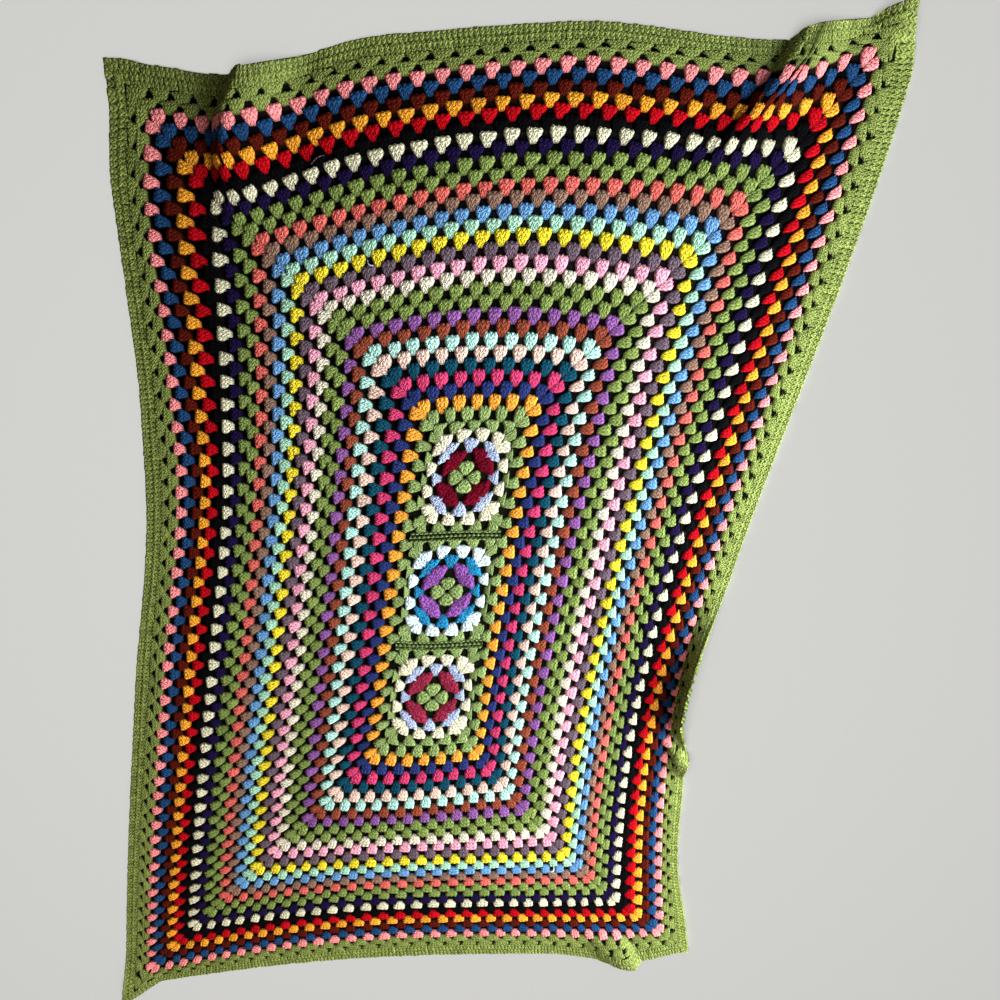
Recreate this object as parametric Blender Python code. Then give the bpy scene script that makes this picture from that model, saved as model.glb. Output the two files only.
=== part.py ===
"""Granny square blanket: three squares in a column, a striped surround and a green border.

The cloth lies spread out and a little askew. It is flat on the surface, apart from two pleats
at the top corners, one at the lower right corner, a border that stands up along the right edge
and a few lifted corner tips. Sizes are in millimetres; the origin is at the middle of the
middle square, on the underside, with +Y to the top edge and +Z up.
"""
import math
from collections import namedtuple

import bmesh
import bpy
from mathutils import Vector

MM = 0.001

CLOTH_THICK = 4.0          # three double crochets side by side, in double knitting yarn
SEAM_GAP = 0.025           # left open on each side of a seam, in rounds (one is 8 to 12 mm)
SQUARE_GAP = 0.0012        # the same between two squares, as a share of the column's length
SQUARES = ("square_bottom", "square_middle", "square_top")
SQUARE_CELLS = 8
SQUARES_EDGE = 5.5         # the squares end here, counted in rounds from the middle
SURROUND_EDGE = 34.5       # the last striped round ends here
BLANKET_EDGE = 38.5        # the border ends here
SURROUND_ROWS = (5.5, 9, 12, 16, 20, 22, 24, 26, 28, 30, 31.5, 33, 34.5)
BORDER_ROWS = (34.5, 35.5, 36.5, 37.5, 38.5)

# where the corners of a few rounds lie, and how far each side bows outwards between them
Guide = namedtuple("Guide", "at top_left top_right bottom_right bottom_left top right bottom left")
GUIDES = (
    Guide(5.5, (-13, 185), (78, 189), (23, -183), (-77, -184), 4, -3, 5, 4),
    Guide(12, (-75, 258), (154, 264), (69, -250), (-149, -265), 9, -6, 5, 1),
    Guide(20, (-144, 325), (247, 352), (136, -334), (-236, -353), 30, -14, -3, -9),
    Guide(28, (-216, 402), (339, 449), (198, -397), (-319, -434), 33, -30, -14, -20),
    Guide(34.5, (-276, 480), (410, 534), (259, -445), (-381, -500), 14, -50, -25, -28),
    Guide(38.5, (-306, 513), (438, 556), (290, -469), (-408, -520), 16, -62, -21, -28),
)

# each side runs clockwise from its first corner to its last; lean moves the deepest part of
# its bow on along the side
Side = namedtuple("Side", "first last outwards lean")
SIDES = {
    "top": Side("top_left", "top_right", (0, 1), 1.0),
    "right": Side("top_right", "bottom_right", (1, 0), 1.57),
    "bottom": Side("bottom_right", "bottom_left", (0, -1), 1.25),
    "left": Side("bottom_left", "top_left", (-1, 0), 1.7),
}

# pleats: where each one crosses the blanket's edge and where it begins, as a share of the
# side, how wide it is before and after its crest, how high, and how much cloth it takes up
Pleat = namedtuple("Pleat", "side from_round at_edge at_start before after height takes")
PLEATS = (
    Pleat("top", 23, 0.177, -0.040, 18, 65, 18, 38),
    Pleat("top", 23, 0.867, 0.890, 14, 60, 14, 40),
    Pleat("bottom", 33, 0.100, 0.090, 14, 45, 14, 0),
    Pleat("right", 33, 0.742, 0.738, 10, 26, 13, 0),
)

# places where the rounds are drawn in (minus) or pushed out, growing from one round to the
# full one, over lengths before and after the place
Pull = namedtuple("Pull", "side from_round full_round at_edge at_start before after outwards")
PULLS = (
    Pull("top", 24, 35, 0.158, 0.014, 88, 130, -17),
    Pull("top", 24, 35, 0.850, 0.920, 200, 95, -19),
    Pull("top", 34.5, 38.5, 0.877, 0.877, 22, 88, 9),
    Pull("right", 34.5, 38.5, 0.05, 0.05, 140, 740, 10),
    Pull("right", 34.5, 38.5, 0.88, 0.88, 100, 80, -4),
    Pull("bottom", 33, 38.5, 0.095, 0.095, 60, 110, 12),
    Pull("left", 24, 34, 0.57, 0.68, 170, 115, -5),
    Pull("left", 26, 34, 0.90, 0.92, 250, 115, 12),
)

# where a border stands up: it rises from one place on the side, is full between two and is
# gone at the last
Curl = namedtuple("Curl", "side from_round rises full until gone height outwards")
CURLS = (
    Curl("right", 34.3, 0.53, 0.665, 0.68, 0.735, 30, -17),
)

# corner tips drawn to one side and lifted
Tip = namedtuple("Tip", "x y reach shift_x shift_y height")
TIPS = (
    Tip(-306, 513, 45, -3, 10, 0),
    Tip(436, 560, 42, -9, 9, 20),
    Tip(-410, -520, 52, -4, -18, 8),
)

# mesh steps along each side: from, to, and how many
STEPS = {
    "top": ((0.0, 0.10, 5), (0.10, 0.24, 12), (0.24, 0.76, 17), (0.76, 0.90, 12), (0.90, 1.0, 5)),
    "right": ((0.0, 0.48, 15), (0.48, 0.66, 10), (0.66, 0.80, 16), (0.80, 1.0, 8)),
    "bottom": ((0.0, 0.05, 4), (0.05, 0.16, 9), (0.16, 0.92, 18), (0.92, 1.0, 6)),
    "left": ((0.0, 0.06, 5), (0.06, 0.90, 20), (0.90, 1.0, 4)),
}

COLOURS = {
    "square_top": (0.42, 0.44, 0.20),
    "square_middle": (0.30, 0.44, 0.40),
    "square_bottom": (0.44, 0.42, 0.24),
    "striped_surround": (0.52, 0.24, 0.20),
    "border": (0.20, 0.27, 0.06),
}


def smooth(x):
    x = min(max(x, 0.0), 1.0)
    return x * x * (3 - 2 * x)


def bump(x):
    x = min(abs(x), 1.0)
    return (1 - x * x) ** 2


def hill(distance, before, after):
    return bump(distance / before) if distance < 0 else bump(distance / after)


def mix(a, b, share):
    return a + (b - a) * share


def guide_at(at):
    """The guide for any round, between the two nearest ones in the table."""
    for low, high in zip(GUIDES, GUIDES[1:]):
        if at <= high.at:
            break
    share = (at - low.at) / (high.at - low.at)
    made = {"at": at}
    for name in ("top_left", "top_right", "bottom_right", "bottom_left"):
        made[name] = Vector(getattr(low, name)).lerp(Vector(getattr(high, name)), share)
    for name in SIDES:
        made[name] = mix(getattr(low, name), getattr(high, name), share)
    return Guide(**made)


def place(name, t, at):
    """Where the cloth lies: t along the side (0 to 1), at the given round."""
    side = SIDES[name]
    guide = guide_at(at)
    first, last = getattr(guide, side.first), getattr(guide, side.last)
    length = (last - first).length
    out, height = 0.0, 0.0

    # pleats take up cloth, so the rest of the side is spread a little wider
    pleats = []
    along = t
    for pleat in PLEATS:
        if pleat.side != name or at <= pleat.from_round:
            continue
        share = (at - pleat.from_round) / (BLANKET_EDGE - pleat.from_round)
        grown = smooth((at - pleat.from_round) / (BLANKET_EDGE - 2 - pleat.from_round))
        centre = mix(pleat.at_start, pleat.at_edge, share)
        pleats.append((pleat, grown, centre))
        if pleat.takes:
            taken = pleat.takes * grown / length
            width = 1.55 * pleat.takes / length
            along += taken * (t - smooth((t - centre) / width + 0.5))
    for pleat, grown, centre in pleats:
        away = (along - centre) * length
        height += pleat.height * grown * hill(away, pleat.before, pleat.after)

    for pull in PULLS:
        if pull.side != name or at <= pull.from_round:
            continue
        grown = smooth((at - pull.from_round) / (pull.full_round - pull.from_round))
        share = (at - pull.from_round) / (BLANKET_EDGE - pull.from_round)
        centre = mix(pull.at_start, pull.at_edge, share)
        before = min(pull.before, centre * length)
        after = min(pull.after, (1 - centre) * length)
        out += pull.outwards * grown * hill((along - centre) * length, before, after)
    for curl in CURLS:
        if curl.side == name:
            grown = min(max((at - curl.from_round) / (BLANKET_EDGE - curl.from_round), 0.0), 1.0)
            grown *= smooth((along - curl.rises) / (curl.full - curl.rises))
            grown *= 1 - smooth((along - curl.until) / (curl.gone - curl.until))
            height += curl.height * grown
            out += curl.outwards * grown

    bow = getattr(guide, name) * math.sin(math.pi * min(max(along, 0.0), 1.0) ** side.lean) + out
    spot = first.lerp(last, along) + bow * Vector(side.outwards)
    for tip in TIPS:
        near = bump(math.hypot(spot.x - tip.x, spot.y - tip.y) / tip.reach)
        height += tip.height * near
        spot += near * Vector((tip.shift_x, tip.shift_y))
    return Vector((spot.x, spot.y, height))


def place_in_column(u, v):
    """Inside the column of squares: u from left to right, v from bottom to top."""
    at = SQUARES_EDGE - SEAM_GAP
    bottom, top = place("bottom", 1 - u, at), place("top", u, at)
    left, right = place("left", v, at), place("right", 1 - v, at)
    corners = (place("bottom", 1, at).lerp(place("bottom", 0, at), u)).lerp(
        place("top", 0, at).lerp(place("top", 1, at), u), v)
    return bottom.lerp(top, v) + left.lerp(right, u) - corners


def stations():
    """Every mesh step round the blanket, as (side, t), starting at the top left corner."""
    made = []
    for name in SIDES:
        for start, end, count in STEPS[name]:
            made += [(name, mix(start, end, k / count)) for k in range(count)]
    return made


def thicken(bm):
    """Give the laid surface its thickness, straight up, and close it."""
    made = bmesh.ops.extrude_face_region(bm, geom=bm.faces[:], use_keep_orig=True)
    raised = [item for item in made["geom"] if isinstance(item, bmesh.types.BMVert)]
    bmesh.ops.translate(bm, verts=raised, vec=(0, 0, CLOTH_THICK))
    bmesh.ops.recalc_face_normals(bm, faces=bm.faces[:])


def add_object(name, bm):
    bmesh.ops.scale(bm, verts=bm.verts[:], vec=(MM, MM, MM))
    mesh = bpy.data.meshes.new(name)
    bm.to_mesh(mesh)
    bm.free()
    made = bpy.data.objects.new(name, mesh)
    material = bpy.data.materials.new(name)
    material.use_nodes = True
    shader = material.node_tree.nodes["Principled BSDF"]
    shader.inputs["Base Color"].default_value = (*COLOURS[name], 1.0)
    shader.inputs["Roughness"].default_value = 0.9
    mesh.materials.append(material)
    collection.objects.link(made)
    return made


def ring(name, rows):
    """A closed band of cloth between its first and its last row."""
    around = stations()
    rows = [rows[0] + SEAM_GAP, *rows[1:-1], rows[-1] - (SEAM_GAP if rows[-1] < BLANKET_EDGE else 0)]
    bm = bmesh.new()
    bmesh.ops.create_grid(bm, x_segments=len(around), y_segments=len(rows) - 1, size=0.5)
    ends = []
    for vert in bm.verts:
        step = round((vert.co.x + 0.5) * len(around))
        row = round((vert.co.y + 0.5) * (len(rows) - 1))
        if step in (0, len(around)):
            ends.append(vert)
        vert.co = place(*around[step % len(around)], rows[row])
    bmesh.ops.remove_doubles(bm, verts=ends, dist=0.01)
    thicken(bm)
    return add_object(name, bm)


def square(name, index):
    """One granny square of the column, counted from the bottom."""
    low = index / len(SQUARES) + (SQUARE_GAP if index else 0)
    high = (index + 1) / len(SQUARES) - (SQUARE_GAP if index + 1 < len(SQUARES) else 0)
    bm = bmesh.new()
    bmesh.ops.create_grid(bm, x_segments=SQUARE_CELLS, y_segments=SQUARE_CELLS, size=0.5)
    for vert in bm.verts:
        vert.co = place_in_column(vert.co.x + 0.5, mix(low, high, vert.co.y + 0.5))
    thicken(bm)
    return add_object(name, bm)


for old in list(bpy.data.objects):
    bpy.data.objects.remove(old, do_unlink=True)

collection = bpy.data.collections.new("granny_square_blanket")
bpy.context.scene.collection.children.link(collection)

for place_number, square_name in enumerate(SQUARES):
    square(square_name, place_number)
ring("striped_surround", SURROUND_ROWS)
ring("border", BORDER_ROWS)
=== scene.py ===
"""Granny square blanket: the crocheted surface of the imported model.

Every cluster of stitches, border stitch and seam cord is placed by its side of the blanket,
its place along that side and its round, and laid over the same folds as the solids.
Lengths are in millimetres until a mesh is made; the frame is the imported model's.
"""
import math
from collections import namedtuple

import bpy
import numpy as np
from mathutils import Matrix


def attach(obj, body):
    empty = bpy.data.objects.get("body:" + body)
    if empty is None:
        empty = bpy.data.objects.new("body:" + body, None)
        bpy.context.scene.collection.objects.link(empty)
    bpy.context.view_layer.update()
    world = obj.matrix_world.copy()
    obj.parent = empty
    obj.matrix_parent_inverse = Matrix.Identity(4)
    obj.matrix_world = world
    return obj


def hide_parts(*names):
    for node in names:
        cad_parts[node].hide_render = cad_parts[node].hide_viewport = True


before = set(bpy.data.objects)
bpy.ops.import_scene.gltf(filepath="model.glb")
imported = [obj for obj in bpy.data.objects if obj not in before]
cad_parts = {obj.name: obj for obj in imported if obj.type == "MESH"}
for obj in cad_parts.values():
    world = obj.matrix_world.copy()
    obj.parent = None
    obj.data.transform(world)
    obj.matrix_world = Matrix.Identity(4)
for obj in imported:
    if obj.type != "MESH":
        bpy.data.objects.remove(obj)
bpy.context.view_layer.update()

MM = 0.001
SEED = 34

SQUARES = 3
SQUARES_EDGE = 5.5         # the squares end here, counted in rounds from the middle
BLANKET_EDGE = 38.5        # the border ends here
FIRST_ROUND = 6            # the first round worked about all three squares
OPEN_BORDER_ROUNDS = (35, 36)
CLOSED_ROWS_AT = 38        # the round by whose clusters the stitches of the closed rows are counted
EXTRA_ON_LONG_SIDE = 12    # clusters that a long side has more than a short one

# --- how the blanket lies: the same tables as the solids ---------------------------------

# where the corners of a few rounds lie, and how far each side bows outwards between them
Guide = namedtuple("Guide", "at top_left top_right bottom_right bottom_left top right bottom left")
GUIDES = (
    Guide(5.5, (-13, 185), (78, 189), (23, -183), (-77, -184), 4, -3, 5, 4),
    Guide(12, (-75, 258), (154, 264), (69, -250), (-149, -265), 9, -6, 5, 1),
    Guide(20, (-144, 325), (247, 352), (136, -334), (-236, -353), 30, -14, -3, -9),
    Guide(28, (-216, 402), (339, 449), (198, -397), (-319, -434), 33, -30, -14, -20),
    Guide(34.5, (-276, 480), (410, 534), (259, -445), (-381, -500), 14, -50, -25, -28),
    Guide(38.5, (-306, 513), (438, 556), (290, -469), (-408, -520), 16, -62, -21, -28),
)

# each side runs clockwise from its first corner to its last; lean moves the deepest part of
# its bow on along the side
Side = namedtuple("Side", "first last outwards lean")
SIDES = {
    "top": Side("top_left", "top_right", (0, 1), 1.0),
    "right": Side("top_right", "bottom_right", (1, 0), 1.57),
    "bottom": Side("bottom_right", "bottom_left", (0, -1), 1.25),
    "left": Side("bottom_left", "top_left", (-1, 0), 1.7),
}
LONG_SIDES = ("right", "left")

# pleats: where each one crosses the blanket's edge and where it begins, as a share of the
# side, how wide it is before and after its crest, how high, and how much cloth it takes up
Pleat = namedtuple("Pleat", "side from_round at_edge at_start before after height takes")
PLEATS = (
    Pleat("top", 23, 0.177, -0.040, 18, 65, 18, 38),
    Pleat("top", 23, 0.867, 0.890, 14, 60, 14, 40),
    Pleat("bottom", 33, 0.100, 0.090, 14, 45, 14, 0),
    Pleat("right", 33, 0.742, 0.738, 10, 26, 13, 0),
)
PLEAT_FULL = BLANKET_EDGE - 2   # the round at which a pleat has its full height
PLEAT_REACH = 1.55         # the cloth it takes up comes from a stretch this many times as long

# places where the rounds are drawn in (minus) or pushed out, growing from one round to the
# full one, over lengths before and after the place
Pull = namedtuple("Pull", "side from_round full_round at_edge at_start before after outwards")
PULLS = (
    Pull("top", 24, 35, 0.158, 0.014, 88, 130, -17),
    Pull("top", 24, 35, 0.850, 0.920, 200, 95, -19),
    Pull("top", 34.5, 38.5, 0.877, 0.877, 22, 88, 9),
    Pull("right", 34.5, 38.5, 0.05, 0.05, 140, 740, 10),
    Pull("right", 34.5, 38.5, 0.88, 0.88, 100, 80, -4),
    Pull("bottom", 33, 38.5, 0.095, 0.095, 60, 110, 12),
    Pull("left", 24, 34, 0.57, 0.68, 170, 115, -5),
    Pull("left", 26, 34, 0.90, 0.92, 250, 115, 12),
)

# where a border stands up: it rises from one place on the side, is full between two and is
# gone at the last
Curl = namedtuple("Curl", "side from_round rises full until gone height outwards")
CURLS = (
    Curl("right", 34.3, 0.53, 0.665, 0.68, 0.735, 30, -17),
)

# corner tips drawn to one side and lifted
Tip = namedtuple("Tip", "x y reach shift_x shift_y height")
TIPS = (
    Tip(-306, 513, 45, -3, 10, 0),
    Tip(436, 560, 42, -9, 9, 20),
    Tip(-410, -520, 52, -4, -18, 8),
)

# --- colours ------------------------------------------------------------------------------

# the yarns, as red, green and blue from 0 to 255
YARN = {
    "pale_green": (128, 142, 84),
    "green": (116, 128, 66),
    "burgundy": (98, 6, 26),
    "rose": (132, 36, 56),
    "purple": (128, 74, 136),
    "lavender": (158, 164, 184),
    "teal_blue": (36, 116, 150),
    "cream": (212, 200, 166),
    "white": (206, 216, 214),
    "orange": (226, 146, 54),
    "navy": (38, 48, 92),
    "magenta": (188, 58, 94),
    "dark_teal": (18, 66, 80),
    "peach": (214, 176, 156),
    "aqua": (162, 198, 180),
    "rust": (132, 64, 44),
    "mauve": (128, 80, 130),
    "beige": (206, 192, 166),
    "light_pink": (220, 148, 160),
    "mauve_grey": (98, 80, 86),
    "yellow": (216, 190, 48),
    "mint": (152, 188, 158),
    "light_blue": (98, 136, 172),
    "taupe": (130, 98, 80),
    "coral": (202, 94, 82),
    "dark_purple": (26, 14, 48),
    "pale_cream": (200, 190, 156),
    "black": (5, 4, 5),
    "red": (168, 8, 20),
    "amber": (220, 144, 44),
    "brown": (80, 20, 8),
    "denim": (32, 64, 98),
    "salmon": (230, 132, 128),
    "border_green": (122, 130, 66),
}

# colours of the five rounds of each square, from its middle out, bottom square first
SQUARE_ROUNDS = (
    ("pale_green", "rose", "lavender", "cream", "pale_green"),
    ("pale_green", "purple", "teal_blue", "white", "pale_green"),
    ("pale_green", "burgundy", "lavender", "cream", "pale_green"),
)

# colours of the rounds about all three squares, from the first round on
SURROUND_ROUNDS = (
    "pale_green", "orange", "navy", "magenta", "dark_teal", "peach", "aqua", "rust", "mauve",
    "green", "green", "beige", "light_pink", "mauve_grey", "yellow", "mint", "light_blue",
    "taupe", "coral", "green", "green", "dark_purple", "pale_cream", "black", "red", "amber",
    "brown", "denim", "salmon", "border_green", "border_green",
)

# --- shapes of the stitches -----------------------------------------------------------------

# a cluster from its foot to its head: how far along, its share of the full width, its top in mm
# and how much light reaches it
Row = namedtuple("Row", "along width top light")
CLUSTER = (
    Row(0.00, 0.34, 1.4, 0.60),
    Row(0.14, 0.48, 2.8, 0.90),
    Row(0.32, 0.64, 3.4, 0.98),
    Row(0.52, 0.80, 3.8, 1.00),
    Row(0.72, 0.92, 3.9, 1.00),
    Row(0.91, 1.00, 4.0, 1.03),
    Row(1.00, 0.93, 2.0, 0.80),
)
# the middle round of a square: four broad petals
PETAL = (
    Row(0.00, 0.90, 1.6, 0.40),
    Row(0.16, 0.96, 3.2, 0.90),
    Row(0.45, 1.00, 3.8, 1.00),
    Row(0.75, 1.00, 3.9, 1.00),
    Row(0.90, 0.96, 4.0, 1.03),
    Row(1.00, 0.74, 2.0, 0.80),
)
# and one of the green rounds at the edge, whose heads meet: its widths are shares of its space
BROAD_CLUSTER = (
    Row(0.00, 0.46, 1.2, 0.45),
    Row(0.12, 0.56, 2.6, 0.80),
    Row(0.34, 0.70, 3.4, 0.97),
    Row(0.54, 0.76, 3.6, 1.00),
    Row(0.68, 0.82, 3.4, 0.92),
    Row(0.78, 1.02, 3.3, 0.92),
    Row(0.92, 1.02, 3.8, 1.04),
    Row(1.00, 1.00, 2.2, 0.80),
)
CLUSTER_FOOT = 0.95        # rounds from the cluster's own mid-line back to its foot
CLUSTER_HEAD = 0.50        # and out to its head
CROSS_START = 0.1          # the posts go over from the place of the foot to that of the head
CROSS_RATE = 0.85          # on a smooth curve, begun a little before the foot
PARTING = 1.6              # clusters are fully apart at 1 / 1.6 of the way to the head
SQUARING = 0.8             # share of a lean that the head of a cluster makes up for
MOST_SQUARING = 0.32       # in rounds
CLUSTER_SHOULDER = 0.03    # how much lower its shoulders end, in rounds
CLUSTER_LOBE = 0.05        # how far each post's head stands out, in rounds
GROOVE = 0.5               # depth of the grooves between the posts, mm
GROOVE_RATE = 3            # they are at their full depth at 1 / 3 of the way to the head
GROOVE_SHADE = 0.14        # how much light the grooves lose
LOWEST = 0.5               # where its sides meet the ground, mm

# kinds of cluster: its rows, number of posts, half width in mm (0 where it takes its own space),
# the most of its own space that its head takes, and its greatest length in mm
Kind = namedtuple("Kind", "rows posts half_width fill longest")
PLAIN = Kind(CLUSTER, 3, 8.8, 0.77, 24)
SHORT = Kind(CLUSTER, 3, 9.0, 0.90, 17)
WIDE = Kind(CLUSTER, 3, 12.0, 1.00, 18)
MIDDLE = Kind(PETAL, 3, 12.0, 1.00, 15)
BROAD = Kind(BROAD_CLUSTER, 5, 0.0, 1.00, 26)

# how wide and how long the clusters of each side are, as shares of the usual size
SIDE_WIDTH = {"top": 1.0, "right": 0.98, "bottom": 0.93, "left": 0.92}
SIDE_LENGTH = {"top": 1.0, "right": 1.02, "bottom": 1.0, "left": 1.06}

# how the stitches are spread along each side: wider towards its end, and wider in its middle
Spread = namedtuple("Spread", "end middle")
SPREADS = {
    "top": Spread(0.03, 0.05),
    "right": Spread(-0.09, 0.02),
    "bottom": Spread(0.05, 0.10),
    "left": Spread(0.18, 0.02),
}
SPREAD_FULL = 26           # the round from which they are spread in full

# round edges in a square, as shares of its half width and half height, and how square each is
SquareRound = namedtuple("SquareRound", "at across tall squareness")
SQUARE_SHAPE = (
    SquareRound(0.0, 0.00, 0.00, 2.0),
    SquareRound(0.5, 0.08, 0.06, 2.0),
    SquareRound(1.5, 0.37, 0.28, 2.0),
    SquareRound(2.5, 0.62, 0.52, 2.3),
    SquareRound(3.5, 0.74, 0.67, 2.6),
    SquareRound(4.5, 0.91, 0.83, 3.6),
    SquareRound(5.5, 0.98, 0.96, 30.0),
)

# one upright stitch of the closed rows at the edge, from its foot to its head
EDGE_POST = (
    Row(0.00, 1.00, 2.9, 0.92),
    Row(0.22, 0.96, 3.3, 1.00),
    Row(0.46, 0.92, 3.1, 0.90),
    Row(0.60, 0.96, 3.4, 1.00),
    Row(0.84, 1.05, 3.6, 1.04),
    Row(1.02, 1.00, 2.6, 0.88),
)
POST_ACROSS = (-1.0, -0.55, 0.0, 0.55, 1.0)
POST_GROOVE = 0.7          # mm
POST_ROUNDNESS = 2.5       # the power by which a post falls away to its sides
POST_FULL_TOP = 3.5        # mm, the top from which its grooves have their full depth
POSTS_PER_CLUSTER = 4.5
EDGE_ROWS = ((36.40, 37.50), (37.45, 38.55))   # the rounds between which each closed row stands

# the crocheted seams between the squares: cords side by side, in mm from the seam's middle,
# each a string of beads, whose width and top are shares of the full ones
SEAM_CORDS = (-4.4, 0.0, 4.4)
SEAM_HALF_WIDTH = 1.5      # mm
SEAM_TOP = 5.2             # mm
SEAM_BEADS = 20
SEAM_STEPS_PER_BEAD = 6
SEAM_ACROSS = (-1.0, -0.6, 0.0, 0.6, 1.0)
SEAM_ROUNDNESS = 0.99
BEAD_WIDTH = (0.82, 0.28)  # between two beads, and what a bead adds
BEAD_TOP = (0.84, 0.16)
BEAD_LIGHT = (0.35, 0.65)

# loose ends of yarn: where one starts, its way over the cloth, its bend and its radius in mm
End = namedtuple("End", "side t at across outwards bend radius colour")
LOOSE_ENDS = (
    End("top", 0.193, 28.7, 14.0, 4.0, 1.0, 0.45, "mauve_grey"),
    End("bottom", 0.062, 21.3, 5.0, 7.0, 2.5, 0.7, "white"),
    End("top", 0.182, 19.8, 4.5, -6.0, -2.0, 0.7, "lavender"),
)
END_TOP = 5.0              # mm, its highest place over the cloth
END_ARCH = (0.7, 0.3)      # shares of that height at its ends, and what its middle adds
END_STEPS = 10
END_SIDES = 6
END_TURNS = 4              # of the yarn, along it
END_T_STEP = 0.01          # the step along the side by which its direction is read

# how uneven the hand is: spreads of the stitches' width or tilt, lean in mm, height, reach in
# rounds, and colour
WIDTH_SPREAD = 0.035
LEAN_SPREAD = 0.5
HEIGHT_SPREAD = 0.05
REACH_SPREAD = 0.04
COLOUR_SPREAD = 0.07
POST_HEIGHT_SPREAD = 0.06
POST_TILT_SPREAD = 0.16
POST_REACH_SPREAD = 0.03
POST_COLOUR_SPREAD = 0.10

# how light falls off towards the ground: its least share, and the height in mm from which it
# grows, and over which it grows to the whole
Falloff = namedtuple("Falloff", "least low rise")
CLUSTER_FALLOFF = Falloff(0.45, 0.6, 2.0)
POST_FALLOFF = Falloff(0.50, 1.0, 2.0)
SEAM_FALLOFF = Falloff(0.40, 1.0, 2.2)

# the strands of the yarn, counted along a cluster, along a border stitch, and on from one round
# to the next, and the places in the pattern between one stitch and its neighbour
STRANDS_PER_CLUSTER = 3.3
STRANDS_PER_POST = 2.0
STRANDS_PER_ROUND = 5.3
CLUSTER_OFFSET = 7.0
POST_OFFSET = 3.0

# --- places on the cloth --------------------------------------------------------------------

GUIDE_ATS = np.array([guide.at for guide in GUIDES])
T_STEP = 0.002             # steps by which the slope of the cloth is read: along a side
WIDE_T_STEP = 0.004
AT_STEP = 0.05             # and outwards, in rounds
WIDE_AT_STEP = 0.25


def smooth(x):
    x = np.clip(x, 0, 1)
    return x * x * (3 - 2 * x)


def bump(x):
    x = np.clip(np.abs(x), 0, 1)
    return (1 - x * x) ** 2


def hill(distance, before, after):
    return np.where(distance < 0, bump(distance / before), bump(distance / after))


def light_at(height, falloff):
    return falloff.least + (1 - falloff.least) * smooth((height - falloff.low) / falloff.rise)


def guide_value(name, at):
    """A column of the guides at any round; inside the first guide it goes straight on."""
    column = np.array([getattr(guide, name) for guide in GUIDES], float)
    slope = (column[1] - column[0]) / (GUIDE_ATS[1] - GUIDE_ATS[0])
    inside = np.minimum(at - GUIDE_ATS[0], 0.0)
    if column.ndim == 1:
        return np.interp(at, GUIDE_ATS, column) + inside * slope
    return np.stack([np.interp(at, GUIDE_ATS, column[:, k]) + inside * slope[k] for k in range(2)], -1)


def place(name, t, at):
    """Where the cloth lies: t along the side (0 to 1), at the given round. Arrays in and out."""
    t, at = np.broadcast_arrays(np.asarray(t, float), np.asarray(at, float))
    side = SIDES[name]
    first, last = guide_value(side.first, at), guide_value(side.last, at)
    length = np.linalg.norm(last - first, axis=-1)
    along, out, height = t.copy(), np.zeros(t.shape), np.zeros(t.shape)

    # pleats take up cloth, so the rest of the side is spread a little wider
    pleats = []
    for pleat in PLEATS:
        if pleat.side != name:
            continue
        share = np.clip((at - pleat.from_round) / (BLANKET_EDGE - pleat.from_round), 0, 1)
        grown = smooth((at - pleat.from_round) / (PLEAT_FULL - pleat.from_round))
        centre = pleat.at_start + (pleat.at_edge - pleat.at_start) * share
        pleats.append((pleat, grown, centre))
        if pleat.takes:
            width = PLEAT_REACH * pleat.takes / length
            along = along + pleat.takes * grown / length * (t - smooth((t - centre) / width + 0.5))
    for pleat, grown, centre in pleats:
        away = (along - centre) * length
        height = height + pleat.height * grown * hill(away, pleat.before, pleat.after)

    for pull in PULLS:
        if pull.side != name:
            continue
        grown = smooth((at - pull.from_round) / (pull.full_round - pull.from_round))
        share = np.clip((at - pull.from_round) / (BLANKET_EDGE - pull.from_round), 0, 1)
        centre = pull.at_start + (pull.at_edge - pull.at_start) * share
        before = np.minimum(pull.before, centre * length)
        after = np.minimum(pull.after, (1 - centre) * length)
        out = out + pull.outwards * grown * hill((along - centre) * length, before, after)
    for curl in CURLS:
        if curl.side != name:
            continue
        grown = np.clip((at - curl.from_round) / (BLANKET_EDGE - curl.from_round), 0, 1)
        grown = grown * smooth((along - curl.rises) / (curl.full - curl.rises))
        grown = grown * (1 - smooth((along - curl.until) / (curl.gone - curl.until)))
        height = height + curl.height * grown
        out = out + curl.outwards * grown

    bow = guide_value(name, at) * np.sin(np.pi * np.clip(along, 0, 1) ** side.lean) + out
    spot = first + (last - first) * along[..., None] + bow[..., None] * np.array(side.outwards, float)
    for tip in TIPS:
        near = bump(np.hypot(spot[..., 0] - tip.x, spot[..., 1] - tip.y) / tip.reach)
        height = height + tip.height * near
        spot = spot + near[..., None] * np.array([tip.shift_x, tip.shift_y])
    return np.concatenate([spot, height[..., None]], -1)


def stitch_place(name, t, at):
    """Where the stitch lies that is t along its round, counted in stitches."""
    spread = SPREADS[name]
    grown = np.clip((np.asarray(at, float) - SQUARES_EDGE) / (SPREAD_FULL - SQUARES_EDGE), 0, 1)
    shift = spread.end * t * (1 - t) + spread.middle * np.sin(2 * np.pi * t) / (2 * np.pi)
    return place(name, t - grown * shift, at)


def place_in_column(u, v):
    """Inside the column of squares: u from left to right, v from bottom to top."""
    at = SQUARES_EDGE
    u, v = u[..., None], v[..., None]
    low_left, low_right = place("bottom", 1.0, at), place("bottom", 0.0, at)
    high_left, high_right = place("top", 0.0, at), place("top", 1.0, at)
    bottom, top = place("bottom", 1 - u[..., 0], at), place("top", u[..., 0], at)
    left, right = place("left", v[..., 0], at), place("right", 1 - v[..., 0], at)
    low = low_left * (1 - u) + low_right * u
    high = high_left * (1 - u) + high_right * u
    return bottom * (1 - v) + top * v + left * (1 - u) + right * u - (low * (1 - v) + high * v)


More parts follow.
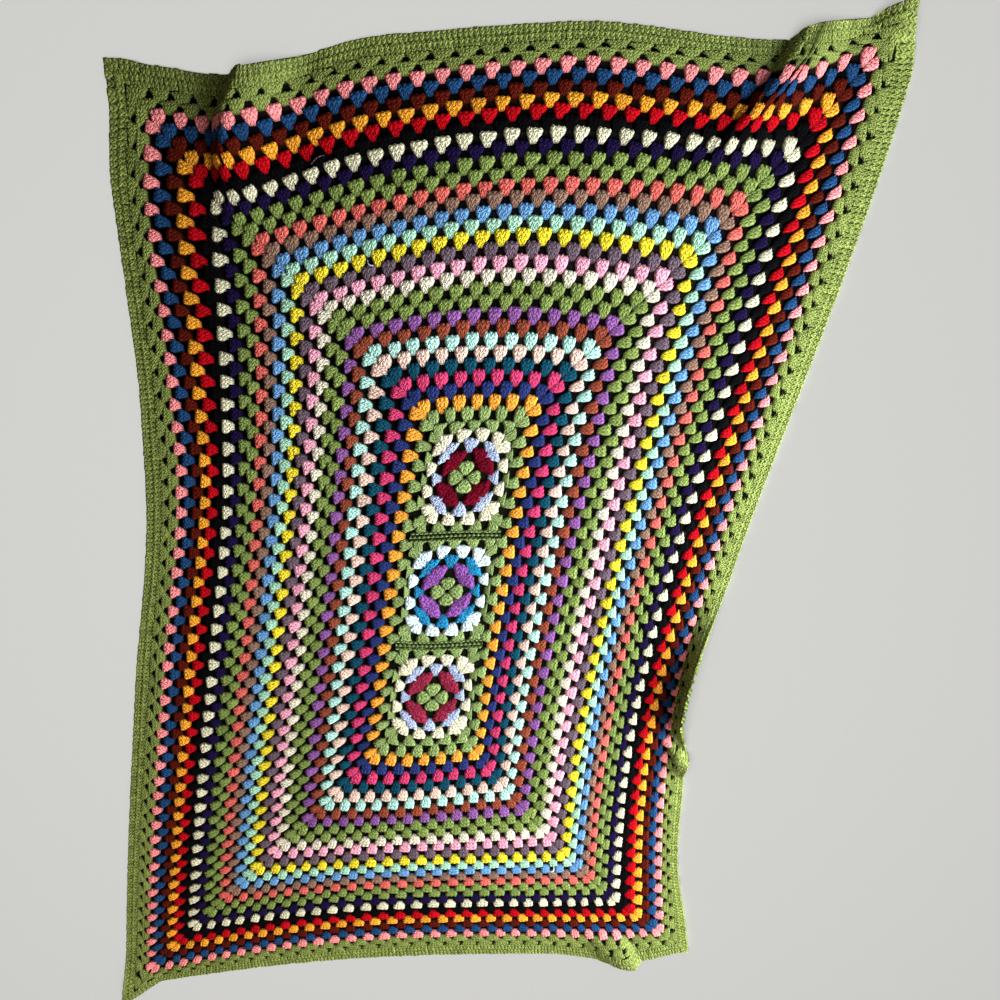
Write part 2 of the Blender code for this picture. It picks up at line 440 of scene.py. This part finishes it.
def place_in_square(index, name, t, at):
    """Inside one square, counted from the bottom, by its own sides and rounds."""
    t, at = np.broadcast_arrays(np.asarray(t, float), np.asarray(at, float))
    ats = [row.at for row in SQUARE_SHAPE]
    across = np.interp(at, ats, [row.across for row in SQUARE_SHAPE])
    tall = np.interp(at, ats, [row.tall for row in SQUARE_SHAPE])
    power = np.interp(at, ats, [row.squareness for row in SQUARE_SHAPE])
    run, one = 2 * t - 1, np.ones(t.shape)
    x, y = {"top": (run, one), "right": (one, -run), "bottom": (-run, -one), "left": (-one, run)}[name]
    round_off = (np.abs(x) ** power + np.abs(y) ** power) ** (1 / power)
    x, y = x * across / round_off, y * tall / round_off
    return place_in_column((x + 1) / 2, (index + (y + 1) / 2) / SQUARES)


def upright(name, t, low, high):
    """Where a stitch whose head is at t in the round `high` stands in the round `low`."""
    side = SIDES[name]
    first, last = guide_value(side.first, low), guide_value(side.last, low)
    head = guide_value(side.first, high) * (1 - t) + guide_value(side.last, high) * t
    return np.clip(((head - first) @ (last - first)) / ((last - first) @ (last - first)), 0, 1)


def raised(where, t, at, height):
    """Points at a height over the laid cloth, square to it."""
    along = where(t + T_STEP, at) - where(t - T_STEP, at)
    outwards = where(t, at + AT_STEP) - where(t, at - AT_STEP)
    up = np.cross(outwards, along)
    up /= np.maximum(np.linalg.norm(up, axis=-1, keepdims=True), 1e-9)
    up *= np.where(up[..., 2:] < 0, -1.0, 1.0)
    return where(t, at) + up * height[..., None]


def across_speed(where, t, at):
    """How many mm of cloth lie in a unit of t."""
    apart = where(t + WIDE_T_STEP, at) - where(t - WIDE_T_STEP, at)
    return np.linalg.norm(apart, axis=-1) / (2 * WIDE_T_STEP)


def squared(where, head, at, axis, offset):
    """How many rounds a point beside the axis moves out, so that a leaning cluster keeps a square head."""
    beside = where(head + T_STEP, at) - where(head - T_STEP, at)
    outwards = where(head, at + WIDE_AT_STEP) - where(head, at - WIDE_AT_STEP)
    beside_share = (beside * axis).sum(-1) / (2 * T_STEP)
    outwards_share = (outwards * axis).sum(-1) / (2 * WIDE_AT_STEP)
    return np.clip(SQUARING * -beside_share / outwards_share * offset, -MOST_SQUARING, MOST_SQUARING)


# --- meshes ---------------------------------------------------------------------------------

dice = np.random.default_rng(SEED)


def uneven(middle, spread, count):
    """One random value for each stitch of a row."""
    return dice.normal(middle, spread, (count, 1, 1))


def linear(colour):
    value = np.asarray(colour, float) / 255
    return np.where(value <= 0.04045, value / 12.92, ((value + 0.055) / 1.055) ** 2.4)


class Strips:
    """Collects strips of stitches, each a grid of rows and points across, into one mesh."""

    def __init__(self):
        self.points, self.tints, self.yarn, self.faces, self.count = [], [], [], [], 0

    def add(self, points, tints, yarn):
        """Arrays of (strip, row, across, 3), the same for tints, and (..., 2) for the yarn."""
        strips, rows, across = points.shape[:3]
        grid = np.arange(rows * across).reshape(rows, across)
        quads = np.stack([grid[:-1, :-1], grid[:-1, 1:], grid[1:, 1:], grid[1:, :-1]], -1).reshape(-1, 4)
        first = self.count + np.arange(strips)[:, None, None] * rows * across
        self.faces.append((first + quads[None]).reshape(-1, 4))
        self.points.append(points.reshape(-1, 3))
        self.tints.append(np.broadcast_to(tints, points.shape).reshape(-1, 3))
        self.yarn.append(np.broadcast_to(yarn, points.shape[:3] + (2,)).reshape(-1, 2))
        self.count += strips * rows * across

    def make(self, name, material):
        points = np.concatenate(self.points) * MM
        faces = np.concatenate(self.faces)
        corner = points[faces]
        facing = np.cross(corner[:, 2] - corner[:, 0], corner[:, 3] - corner[:, 1])
        # a face that looks down is turned over
        down = facing[:, 2] < 0
        faces[down] = faces[down][:, ::-1]
        mesh = bpy.data.meshes.new(name)
        mesh.vertices.add(len(points))
        mesh.vertices.foreach_set("co", points.ravel())
        mesh.loops.add(faces.size)
        mesh.loops.foreach_set("vertex_index", faces.ravel())
        mesh.polygons.add(len(faces))
        mesh.polygons.foreach_set("loop_start", np.arange(len(faces)) * 4)
        mesh.update(calc_edges=True)
        mesh.polygons.foreach_set("use_smooth", np.ones(len(faces), bool))
        flat = (points[:, :2] - points[:, :2].min(0)) / np.ptp(points[:, :2], axis=0).max()
        bake = mesh.uv_layers.new(name="OFBake")
        bake.data.foreach_set("uv", flat[faces.ravel()].ravel())
        yarn = mesh.uv_layers.new(name="Yarn")
        yarn.data.foreach_set("uv", np.concatenate(self.yarn)[faces.ravel()].ravel())
        # the Tint holds the yarn's colour with the painted shade of each stitch in it
        tint = mesh.color_attributes.new(name="Tint", type="FLOAT_COLOR", domain="POINT")
        colours = np.ones((len(points), 4))
        colours[:, :3] = np.clip(np.concatenate(self.tints), 0, 1)
        tint.data.foreach_set("color", colours.ravel())
        mesh.materials.append(material)
        mesh.validate()
        made = bpy.data.objects.new(name, mesh)
        bpy.context.scene.collection.objects.link(made)
        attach(made, "root")
        return made


def across_points(posts):
    """Points across a cluster, from -1 to 1: four steps to each post."""
    steps = np.array([0.0, 0.2, 0.5, 0.8])
    shares = np.append((np.arange(posts)[:, None] + steps).ravel(), posts)
    return 2 * shares / posts - 1


def add_clusters(strips, where, count, at, colour, kind=PLAIN, wide=1.0, long=1.0):
    """One side of one round: its clusters stand in the gaps of the round inside it."""
    run, width, top, light = (column[None, :, None] for column in np.array(kind.rows).T)
    across = across_points(kind.posts)[None, None, :]
    number = np.arange(count)[:, None, None]
    foot = number / (count - 1) if count > 1 else np.array([[[0.5]]])
    head = (number + 0.5) / count

    size = uneven(1.0, WIDTH_SPREAD, count)
    lean = uneven(0.0, LEAN_SPREAD, count)
    tall = uneven(1.0, HEIGHT_SPREAD, count)
    reach = uneven(0.0, REACH_SPREAD, count)

    # a long way from foot to head, as at a corner, is not filled to its end
    axis = where(head, at + CLUSTER_HEAD) - where(foot, at - CLUSTER_FOOT)
    start = np.maximum(1 - kind.longest / np.linalg.norm(axis, axis=-1), 0)
    run_in = start + (1 - start) * run
    centre = foot + (head - foot) * smooth(run_in * CROSS_RATE + CROSS_START)
    speed = across_speed(where, centre, at - CLUSTER_FOOT + run_in * (CLUSTER_FOOT + CLUSTER_HEAD))
    if kind.half_width:
        # feet may touch, heads keep apart
        room = 1 + (kind.fill * wide - 1) * smooth(run * PARTING)
        half = np.minimum(width * kind.half_width * wide / speed, 0.5 * room / count)
    else:
        half = width * 0.5 * kind.fill / count
    t = centre + half * across * size + lean * run / speed

    # the heads of the posts stand out between the grooves, and the shoulders end lower
    groove = 0.5 - 0.5 * np.cos(math.pi * kind.posts * across)
    span = (CLUSTER_FOOT + CLUSTER_HEAD) * long + reach
    ends = CLUSTER_SHOULDER * across**4 + CLUSTER_LOBE * groove
    rounds = at - CLUSTER_FOOT * long + run_in * (span - ends)
    rounds = rounds + squared(where, head, at, axis, half * across * size) * run
    edge = (1 - np.abs(across) ** 4) ** 0.5
    height = LOWEST + (top * tall - LOWEST - GROOVE * groove * np.minimum(run * GROOVE_RATE, 1)) * edge
    t, rounds, height = np.broadcast_arrays(t, rounds, np.maximum(height, LOWEST))
    points = raised(where, t, rounds, height)

    # the sides, the grooves and the foot lie in the shade
    shade = light * light_at(height, CLUSTER_FALLOFF) * (1 - GROOVE_SHADE * groove**4)
    tints = linear(YARN[colour]) * (shade * uneven(1.0, COLOUR_SPREAD, count))[..., None]
    yarn_u = np.broadcast_to((across + 1) / 2 * kind.posts, t.shape) + number * CLUSTER_OFFSET
    yarn_v = np.broadcast_to(run * STRANDS_PER_CLUSTER + at * STRANDS_PER_ROUND, t.shape)
    strips.add(points, tints, np.stack([yarn_u, yarn_v], -1))


def clusters_on(name, at):
    return at + (EXTRA_ON_LONG_SIDE if name in LONG_SIDES else 0)


def add_round(strips, at, kind=PLAIN):
    for name in SIDES:
        wide, long = (SIDE_WIDTH[name], SIDE_LENGTH[name]) if kind.half_width else (1.0, 1.0)
        add_clusters(
            strips,
            lambda t, r, name=name: stitch_place(name, t, r),
            clusters_on(name, at), at, SURROUND_ROUNDS[at - FIRST_ROUND], kind, wide, long)


def add_posts(strips, name, count, low, high, colour):
    """One side of one closed row of single posts between two rounds."""
    def where(t, at):
        return stitch_place(name, t, at)

    run, width, top, light = (column[None, :, None] for column in np.array(EDGE_POST).T)
    across = np.array(POST_ACROSS)[None, None, :]
    number = np.arange(count)[:, None, None]
    tall = uneven(1.0, POST_HEIGHT_SPREAD, count)
    tilt = uneven(0.0, POST_TILT_SPREAD, count)
    reach = uneven(0.0, POST_REACH_SPREAD, count)
    head = (number + 0.5) / count
    foot = upright(name, head, low, high)[..., None]
    t = foot + (head - foot) * run + (across * width + tilt * (run - 0.5)) * 0.5 / count
    rounds = low + run * (high - low) + reach
    groove = POST_GROOVE * np.abs(across) ** POST_ROUNDNESS * np.minimum(top / POST_FULL_TOP, 1)
    t, rounds, height = np.broadcast_arrays(t, rounds, np.maximum(top * tall - groove, LOWEST))
    points = raised(where, t, rounds, height)

    shade = light * light_at(height, POST_FALLOFF)
    tints = linear(YARN[colour]) * (shade * uneven(1.0, POST_COLOUR_SPREAD, count))[..., None]
    yarn_u = np.broadcast_to((across + 1) / 2, t.shape) + number * POST_OFFSET
    yarn_v = np.broadcast_to(run * STRANDS_PER_POST + low * STRANDS_PER_ROUND, t.shape)
    strips.add(points, tints, np.stack([yarn_u, yarn_v], -1))


def add_seam(strips, v, colour):
    """The ridged seam that joins two squares, across the column at the height v."""
    along = np.linspace(0.0, 1.0, SEAM_STEPS_PER_BEAD * SEAM_BEADS + 1)[None, :, None]
    over = np.array(SEAM_ACROSS)[None, None, :]
    cords = np.array(SEAM_CORDS)[:, None, None]
    middle, low, high = np.array([0.5]), np.array([0.0]), np.array([1.0])
    tall = np.linalg.norm(place_in_column(middle, high) - place_in_column(middle, low))

    # the beads of one cord stand beside the gaps of the next
    half_bead = 0.5 * np.arange(len(SEAM_CORDS))[:, None, None]
    bead = np.abs(np.sin(math.pi * (along * SEAM_BEADS + half_bead)))
    half = SEAM_HALF_WIDTH * (BEAD_WIDTH[0] + BEAD_WIDTH[1] * bead)
    top = SEAM_TOP * (BEAD_TOP[0] + BEAD_TOP[1] * bead)
    height = LOWEST + (top - LOWEST) * np.sqrt(1 - SEAM_ROUNDNESS * over**2)
    u, offset, height = np.broadcast_arrays(along, cords + half * over, height)
    points = place_in_column(u, v + offset / tall)
    points[..., 2] += height

    shade = light_at(height, SEAM_FALLOFF) * (BEAD_LIGHT[0] + BEAD_LIGHT[1] * bead)
    yarn_u = np.broadcast_to(over * 0.5, u.shape)
    yarn_v = np.broadcast_to(along * SEAM_BEADS, u.shape)
    strips.add(points, linear(YARN[colour]) * shade[..., None], np.stack([yarn_u, yarn_v], -1))


def add_end(strips, end):
    """One loose end, a thin round strand that leaves the cloth and comes down on it again."""
    run = np.linspace(0, 1, END_STEPS + 1)[:, None]
    round_it = np.linspace(0, 2 * math.pi, END_SIDES + 1)[None, :]
    start = place(end.side, np.array([end.t]), np.array([end.at]))[0]
    ahead = place(end.side, np.array([end.t + END_T_STEP]), np.array([end.at]))[0] - start
    ahead = ahead[:2] / np.linalg.norm(ahead[:2])
    out = np.array([-ahead[1], ahead[0]])
    way = end.across * ahead + end.outwards * out
    side = np.array([-way[1], way[0]]) / np.linalg.norm(way)
    arch = np.sin(math.pi * run)
    spot = start[:2] + run[..., None] * way + (end.bend * arch)[..., None] * side
    spot = spot + (end.radius * np.cos(round_it))[..., None] * side
    height = start[2] + END_TOP * (END_ARCH[0] + END_ARCH[1] * arch) + end.radius * np.sin(round_it)
    points = np.concatenate([spot, height[..., None]], -1)
    yarn_at = np.stack(np.broadcast_arrays(round_it / END_SIDES, run * END_TURNS), -1)
    strips.add(points[None], linear(YARN[end.colour]), yarn_at[None])


# --- materials --------------------------------------------------------------------------------

YARN_ROUGHNESS = 0.85
YARN_SPECULAR = 0.03
STRAND_SLANT = 1.6         # how far a strand climbs from the side of a post to its middle
STRAND_WANDER = 1.4        # how unevenly the strands lie
STRAND_WANDER_SCALE = 300.0
STRAND_WANDER_DETAIL = 2.0
STRAND_ROUNDNESS = 0.7
FUZZ = 1.1
FUZZ_SCALE = 750.0
FUZZ_DETAIL = 3.0
TINT_GAMMA = 1.06
HOLLOW_LIGHT = 0.36        # the light left between the strands
STRAND_LIGHT = 0.85        # and what their full height adds
BUMP_STRENGTH = 0.8


def yarn_material(name, relief):
    """Wool-like yarn: small V marks up each post, a fine fuzz, and colour from the stitches.

    The relief is the depth of the marks, in mm.
    """
    material = bpy.data.materials.new(name)
    material.use_nodes = True
    nodes, links = material.node_tree.nodes, material.node_tree.links
    shader = nodes["Principled BSDF"]
    shader.inputs["Roughness"].default_value = YARN_ROUGHNESS
    shader.inputs["Specular IOR Level"].default_value = YARN_SPECULAR

    def math_node(operation, first, second, third=0.0):
        node = nodes.new("ShaderNodeMath")
        node.operation = operation
        for socket, value in zip(node.inputs, (first, second, third)):
            if isinstance(value, (int, float)):
                socket.default_value = value
            else:
                links.new(value, socket)
        return node.outputs["Value"]

    def noise(scale, detail):
        node = nodes.new("ShaderNodeTexNoise")
        node.inputs["Scale"].default_value = scale
        node.inputs["Detail"].default_value = detail
        links.new(place_of.outputs["Object"], node.inputs["Vector"])
        return node.outputs["Fac"]

    place_of = nodes.new("ShaderNodeTexCoord")
    turns = nodes.new("ShaderNodeUVMap")
    turns.uv_map = "Yarn"
    split = nodes.new("ShaderNodeSeparateXYZ")
    links.new(turns.outputs["UV"], split.inputs["Vector"])

    # the strands of each post meet in its middle like a V that opens towards the head
    uneven_by = noise(STRAND_WANDER_SCALE, STRAND_WANDER_DETAIL)
    wander = math_node("MULTIPLY_ADD", uneven_by, STRAND_WANDER, -STRAND_WANDER / 2)
    slant = math_node("MULTIPLY", math_node("PINGPONG", split.outputs["X"], 0.5), STRAND_SLANT)
    turn = math_node("ADD", math_node("ADD", split.outputs["Y"], slant), wander)
    strand = math_node("PINGPONG", turn, 0.5)
    strand = math_node("POWER", math_node("MULTIPLY", strand, 2.0), STRAND_ROUNDNESS)
    fuzz = math_node("SUBTRACT", noise(FUZZ_SCALE, FUZZ_DETAIL), 0.5)
    relief_of = math_node("MULTIPLY_ADD", fuzz, FUZZ, strand)

    # the colour of the stitch, with painted shade in the hollows between the strands
    tint = nodes.new("ShaderNodeAttribute")
    tint.attribute_name = "Tint"
    deeper = nodes.new("ShaderNodeGamma")
    deeper.inputs["Gamma"].default_value = TINT_GAMMA
    links.new(tint.outputs["Color"], deeper.inputs["Color"])
    shaded = nodes.new("ShaderNodeVectorMath")
    shaded.operation = "SCALE"
    links.new(deeper.outputs["Color"], shaded.inputs["Vector"])
    light = math_node("MULTIPLY_ADD", relief_of, STRAND_LIGHT, HOLLOW_LIGHT)
    links.new(light, shaded.inputs["Scale"])
    links.new(shaded.outputs["Vector"], shader.inputs["Base Color"])

    rise = nodes.new("ShaderNodeBump")
    rise.inputs["Strength"].default_value = BUMP_STRENGTH
    rise.inputs["Distance"].default_value = relief * MM
    links.new(relief_of, rise.inputs["Height"])
    links.new(rise.outputs["Normal"], shader.inputs["Normal"])
    return material


yarn = yarn_material("yarn", relief=1.0)
ground_yarn = yarn_material("ground_yarn", relief=0.3)

# --- the squares, the surround and the border ----------------------------------------------

pieces = []

strips = Strips()
for index, rounds in enumerate(SQUARE_ROUNDS):
    for number, colour in enumerate(rounds, start=1):
        kind = {1: MIDDLE, 2: WIDE}.get(number, SHORT)
        for name in SIDES:
            add_clusters(
                strips,
                lambda t, r, index=index, name=name: place_in_square(index, name, t, r),
                number, number, colour, kind)
for seam in range(1, SQUARES):
    add_seam(strips, seam / SQUARES, "pale_green")
squares = strips.make("square_clusters", yarn)
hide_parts("square_bottom", "square_middle", "square_top")
pieces.append(squares)

GROUPS = (
    ("inner_rounds", 6, 16),
    ("middle_rounds", 17, 23),
    ("outer_rounds", 24, 29),
    ("last_rounds", 30, 34),
)
for group, first, last in GROUPS:
    strips = Strips()
    for at in range(first, last + 1):
        add_round(strips, at)
    for end in LOOSE_ENDS:
        if first <= round(end.at) <= last:
            add_end(strips, end)
    made = strips.make(group, yarn)
    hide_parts("striped_surround")
    pieces.append(made)

strips = Strips()
for at in OPEN_BORDER_ROUNDS:
    add_round(strips, at, BROAD)
for low, high in EDGE_ROWS:
    for name in SIDES:
        count = int(POSTS_PER_CLUSTER * clusters_on(name, CLOSED_ROWS_AT))
        add_posts(strips, name, count, low, high, "border_green")
border = strips.make("border_stitches", yarn)
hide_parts("border")
pieces.append(border)

# --- the ground under the stitches, a sheet darkened with painted shade, that shows in the gaps ---

GROUND_STEPS = {"top": 110, "right": 130, "bottom": 90, "left": 90}
GROUND_ROUNDS = np.arange(SQUARES_EDGE, BLANKET_EDGE, 0.5)
GROUND_HEIGHT = 0.5        # mm
GROUND_COLOUR_LAG = 0.4    # rounds by which its colour keeps to the round inside
OPEN_GROUND_SHARE = 0.014  # of the yarn's colour: the ground under open rounds lies in the dark
CLOSED_GROUND_SHARE = 0.30
COLUMN_GROUND_SHARE = 0.03
DARKEST = 0.0005
GROUND_PATTERN = (900, 10)     # repeats along a side, and for each round
COLUMN_STEPS = (12, 36)
COLUMN_PATTERN = (100, 370)    # repeats across the column and up it


def add_ground(strips):
    last_round = FIRST_ROUND + len(SURROUND_ROUNDS) - 1
    number = np.clip(np.round(GROUND_ROUNDS - GROUND_COLOUR_LAG).astype(int), FIRST_ROUND, last_round)
    colours = np.stack([linear(YARN[SURROUND_ROUNDS[k - FIRST_ROUND]]) for k in number])
    share = np.where(GROUND_ROUNDS > EDGE_ROWS[0][0], CLOSED_GROUND_SHARE, OPEN_GROUND_SHARE)
    # painted shade: the ground takes a small share of the colour of the yarn above it, a larger one under
    # the closed rows
    tint = colours * share[:, None] + DARKEST
    for name in SIDES:
        t, at = np.meshgrid(np.linspace(0, 1, GROUND_STEPS[name] + 1), GROUND_ROUNDS)
        points = raised(lambda a, b: place(name, a, b), t, at, np.full(at.shape, GROUND_HEIGHT))
        tints = np.broadcast_to(tint[:, None, :], points.shape)
        yarn_at = np.stack([t * GROUND_PATTERN[0], at * GROUND_PATTERN[1]], -1)
        strips.add(points[None], tints[None], yarn_at[None])

    u, v = np.meshgrid(*(np.linspace(0, 1, steps + 1) for steps in COLUMN_STEPS))
    points = place_in_column(u, v)
    points[..., 2] += GROUND_HEIGHT
    yarn_at = np.stack([u * COLUMN_PATTERN[0], v * COLUMN_PATTERN[1]], -1)
    strips.add(points[None], linear(YARN["green"]) * COLUMN_GROUND_SHARE, yarn_at[None])


strips = Strips()
add_ground(strips)
ground = strips.make("ground", ground_yarn)

# --- floor, light and camera, in metres ---------------------------------------------------------

FLOOR_REACH = 6.0
FLOOR_DROP = 0.0002        # it lies a hair under the blanket
FLOOR_COLOUR = (0.74, 0.74, 0.72, 1)
FLOOR_ROUGHNESS = 0.9

floor_mesh = bpy.data.meshes.new("floor")
floor_corners = [(x * FLOOR_REACH, y * FLOOR_REACH, 0) for x, y in ((-1, -1), (1, -1), (1, 1), (-1, 1))]
floor_mesh.from_pydata(floor_corners, [], [(0, 1, 2, 3)])
floor = bpy.data.objects.new("floor", floor_mesh)
floor.location.z = -FLOOR_DROP
bpy.context.scene.collection.objects.link(floor)
floor_material = bpy.data.materials.new("floor")
floor_material.use_nodes = True
floor_shader = floor_material.node_tree.nodes["Principled BSDF"]
floor_shader.inputs["Base Color"].default_value = FLOOR_COLOUR
floor_shader.inputs["Roughness"].default_value = FLOOR_ROUGHNESS
floor_mesh.materials.append(floor_material)

# the low lamps light the blanket alone, and the overhead lamp the floor alone, so that the
# floor stays even
Lamp = namedtuple("Lamp", "name location aim size power colour lit")
blanket = pieces + [ground]
LAMPS = (
    Lamp("key", (0.88, -0.14, 0.37), (0.1, 0, 0), 0.6, 30.5, (0.97, 1.0, 0.97), blanket),
    Lamp("sky", (0.80, -0.05, 0.42), (0.3, -0.05, 0), 0.7, 17.0, (0.72, 0.95, 1.30), blanket),
    Lamp("fill", (-0.32, -0.98, 0.65), (0, -0.4, 0), 0.6, 7.5, (1.0, 0.96, 0.88), blanket),
    Lamp("overhead", (0.0, 0.0, 2.5), (0, 0, 0), 3.0, 68.0, (0.99, 1.0, 1.01), [floor]),
)


def add_lamp(lamp):
    data = bpy.data.lights.new(lamp.name, "AREA")
    data.size = lamp.size
    data.energy = lamp.power
    data.color = lamp.colour
    light = bpy.data.objects.new(lamp.name, data)
    light.location = lamp.location
    away = np.array(lamp.location) - np.array(lamp.aim)
    yaw = math.atan2(away[1], away[0]) + math.pi / 2
    tilt = math.acos(away[2] / np.linalg.norm(away))
    light.rotation_euler = (tilt, 0, yaw)
    light.visible_camera = False
    bpy.context.scene.collection.objects.link(light)
    group = bpy.data.collections.new("lit_by_" + lamp.name)
    for thing in lamp.lit:
        group.objects.link(thing)
    light.light_linking.receiver_collection = group


for lamp in LAMPS:
    add_lamp(lamp)

WORLD_COLOUR = (1.0, 0.94, 0.85, 1)
WORLD_STRENGTH = 0.15

world = bpy.data.worlds.new("world")
world.use_nodes = True
background = world.node_tree.nodes["Background"]
background.inputs["Color"].default_value = WORLD_COLOUR
background.inputs["Strength"].default_value = WORLD_STRENGTH
bpy.context.scene.world = world
bpy.context.scene.view_settings.view_transform = "Standard"

CAMERA_TILT = 13.5         # degrees off straight down
CAMERA_PLACE = (0.05766, 0.28779, 0.770)
LENS_MM = 27.0
SENSOR_MM = 36.0

camera_data = bpy.data.cameras.new("camera")
camera_data.lens = LENS_MM
camera_data.sensor_width = SENSOR_MM
camera = bpy.data.objects.new("camera", camera_data)
camera.location = CAMERA_PLACE
camera.rotation_euler = (math.radians(-CAMERA_TILT), 0, 0)
bpy.context.scene.collection.objects.link(camera)
bpy.context.scene.camera = camera
